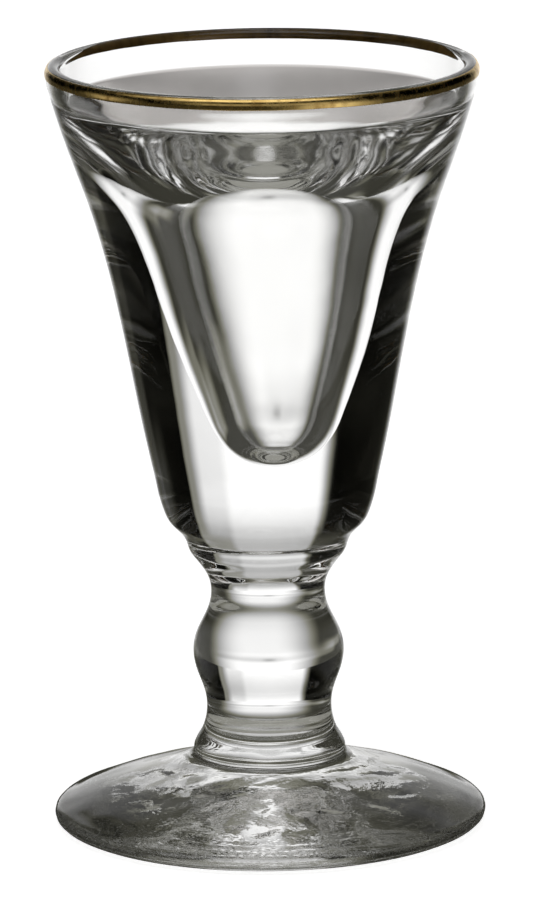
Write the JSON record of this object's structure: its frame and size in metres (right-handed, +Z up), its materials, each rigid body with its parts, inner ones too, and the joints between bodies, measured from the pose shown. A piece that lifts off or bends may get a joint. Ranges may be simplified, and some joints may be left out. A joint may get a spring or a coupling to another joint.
{
  "type": "liqueur glass",
  "caption": "Small stemmed drinking glass: flared thick-walled bowl with a deep narrow cavity, knobbed stem, round sloping foot and a gilt band on the lip.",
  "frame": {"origin": "centre of the foot's underside, on the surface that the glass stands on", "axes": "+Z up along the axis of the glass, towards the lip; X and Y are equal, because the glass is round"},
  "size_m": [0.0505, 0.0504, 0.09],
  "materials": {
    "clear_glass": "clear, fire polished, faint ripples from the mould",
    "gilt": "thin fired-on gold, slightly worn and uneven"
  },
  "bodies": {
    "root": {"glass": "clear_glass", "gold_rim": "gilt"}
  },
  "joints": []
}
